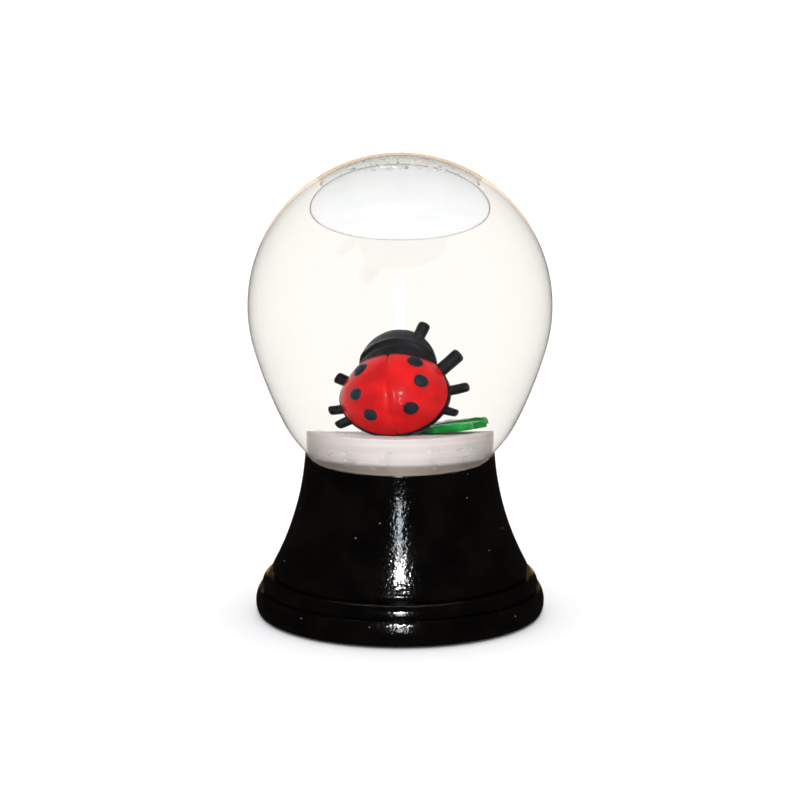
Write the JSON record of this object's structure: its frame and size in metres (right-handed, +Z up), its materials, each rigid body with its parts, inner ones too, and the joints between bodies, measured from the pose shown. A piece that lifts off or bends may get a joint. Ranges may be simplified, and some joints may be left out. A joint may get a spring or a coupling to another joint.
{
  "type": "ladybug snow globe",
  "caption": "Small water-filled glass snow globe on a flared black pedestal, with a red ladybug standing on clover leaves and loose snow that swirls up and settles.",
  "frame": {"origin": "middle of the felt face that the globe stands on", "axes": "+Z up along the bulb's axis; the ladybug's back faces the front, -Y"},
  "size_m": [0.025, 0.025, 0.0386],
  "materials": {
    "antenna_left": "glossy black hand-painted enamel",
    "antenna_right": "glossy black hand-painted enamel",
    "base_shell": "high gloss black, slightly rippled",
    "bottom_cover": "fine matte black",
    "felt_pad": "short dark green felt",
    "globe_glass": "clear blown glass",
    "ladybug_belly": "glossy black hand-painted enamel",
    "ladybug_head": "glossy black hand-painted enamel",
    "leaflet_back": "glossy green hand-painted enamel",
    "leaflet_back_right": "glossy green hand-painted enamel",
    "leaflet_right": "glossy green hand-painted enamel",
    "leg_front_left": "glossy black hand-painted enamel",
    "leg_front_right": "glossy black hand-painted enamel",
    "leg_middle_left": "glossy black hand-painted enamel",
    "leg_middle_right": "glossy black hand-painted enamel",
    "leg_rear_left": "glossy black hand-painted enamel",
    "leg_rear_right": "glossy black hand-painted enamel",
    "neck_cement": "cured clear-to-cream sealing cement",
    "plug": "satin white moulded plastic with fine turning lines",
    "plug_seal_ring": "black sealing rubber",
    "snow_bed": "white snow flake plastic",
    "snow_lift_1": "white snow flake plastic",
    "snow_lift_2": "white snow flake plastic",
    "snow_lift_3": "white snow flake plastic",
    "snow_lift_4": "white snow flake plastic",
    "snow_lift_5": "white snow flake plastic",
    "snow_lift_6": "white snow flake plastic",
    "snow_on_crown": "white snow flake plastic",
    "snow_on_plug": "white snow flake plastic",
    "spots_left": "glossy black hand-painted enamel",
    "spots_right": "glossy black hand-painted enamel",
    "water_fill": "clear water with a faint warm tint",
    "wing_case_left": "glossy red hand-painted enamel",
    "wing_case_right": "glossy red hand-painted enamel"
  },
  "bodies": {
    "globe": {"antenna_left": "antenna_left", "antenna_right": "antenna_right", "base_shell": "base_shell", "bottom_cover": "bottom_cover", "felt_pad": "felt_pad", "globe_glass": "globe_glass", "ladybug_belly": "ladybug_belly", "ladybug_head": "ladybug_head", "leaflet_back": "leaflet_back", "leaflet_back_right": "leaflet_back_right", "leaflet_right": "leaflet_right", "leg_front_left": "leg_front_left", "leg_front_right": "leg_front_right", "leg_middle_left": "leg_middle_left", "leg_middle_right": "leg_middle_right", "leg_rear_left": "leg_rear_left", "leg_rear_right": "leg_rear_right", "neck_cement": "neck_cement", "plug": "plug", "plug_seal_ring": "plug_seal_ring", "snow_on_crown": "snow_on_crown", "snow_on_plug": "snow_on_plug", "spots_left": "spots_left", "spots_right": "spots_right", "water_fill": "water_fill", "wing_case_left": "wing_case_left", "wing_case_right": "wing_case_right"},
    "snow_bed": {"snow_bed": "snow_bed"},
    "snow_lift_1": {"snow_lift_1": "snow_lift_1"},
    "snow_lift_2": {"snow_lift_2": "snow_lift_2"},
    "snow_lift_3": {"snow_lift_3": "snow_lift_3"},
    "snow_lift_4": {"snow_lift_4": "snow_lift_4"},
    "snow_lift_5": {"snow_lift_5": "snow_lift_5"},
    "snow_lift_6": {"snow_lift_6": "snow_lift_6"}
  },
  "joints": [
    {"name": "snow_swirl", "type": "hinge", "parent": "globe", "child": "snow_bed", "pos_m": [0, 0, 0.0145], "axis": [0, 0, 1], "continuous": true, "deforming": ["water_fill"]},
    {"name": "snow_lift_1_slide", "type": "slide", "parent": "snow_bed", "child": "snow_lift_1", "axis": [0.1289, 0, 0.9917], "range_m": [0, 0.0035], "deforming": ["water_fill"]},
    {"name": "snow_lift_2_slide", "type": "slide", "parent": "snow_bed", "child": "snow_lift_2", "axis": [0.0645, 0.1116, 0.9917], "range_m": [0, 0.006], "deforming": ["water_fill"]},
    {"name": "snow_lift_3_slide", "type": "slide", "parent": "snow_bed", "child": "snow_lift_3", "axis": [-0.0645, 0.1116, 0.9917], "range_m": [0, 0.0085], "deforming": ["water_fill"]},
    {"name": "snow_lift_4_slide", "type": "slide", "parent": "snow_bed", "child": "snow_lift_4", "axis": [-0.1289, 0, 0.9917], "range_m": [0, 0.011], "deforming": ["water_fill"]},
    {"name": "snow_lift_5_slide", "type": "slide", "parent": "snow_bed", "child": "snow_lift_5", "axis": [-0.0645, -0.1116, 0.9917], "range_m": [0, 0.0135], "deforming": ["water_fill"]},
    {"name": "snow_lift_6_slide", "type": "slide", "parent": "snow_bed", "child": "snow_lift_6", "axis": [0.0645, -0.1116, 0.9917], "range_m": [0, 0.016], "deforming": ["water_fill"]}
  ],
  "couplings": [
    {"joint": "snow_lift_1_slide", "follows": "snow_lift_6_slide", "ratio": 0.21875},
    {"joint": "snow_lift_2_slide", "follows": "snow_lift_6_slide", "ratio": 0.375},
    {"joint": "snow_lift_3_slide", "follows": "snow_lift_6_slide", "ratio": 0.53125},
    {"joint": "snow_lift_4_slide", "follows": "snow_lift_6_slide", "ratio": 0.6875},
    {"joint": "snow_lift_5_slide", "follows": "snow_lift_6_slide", "ratio": 0.84375}
  ]
}
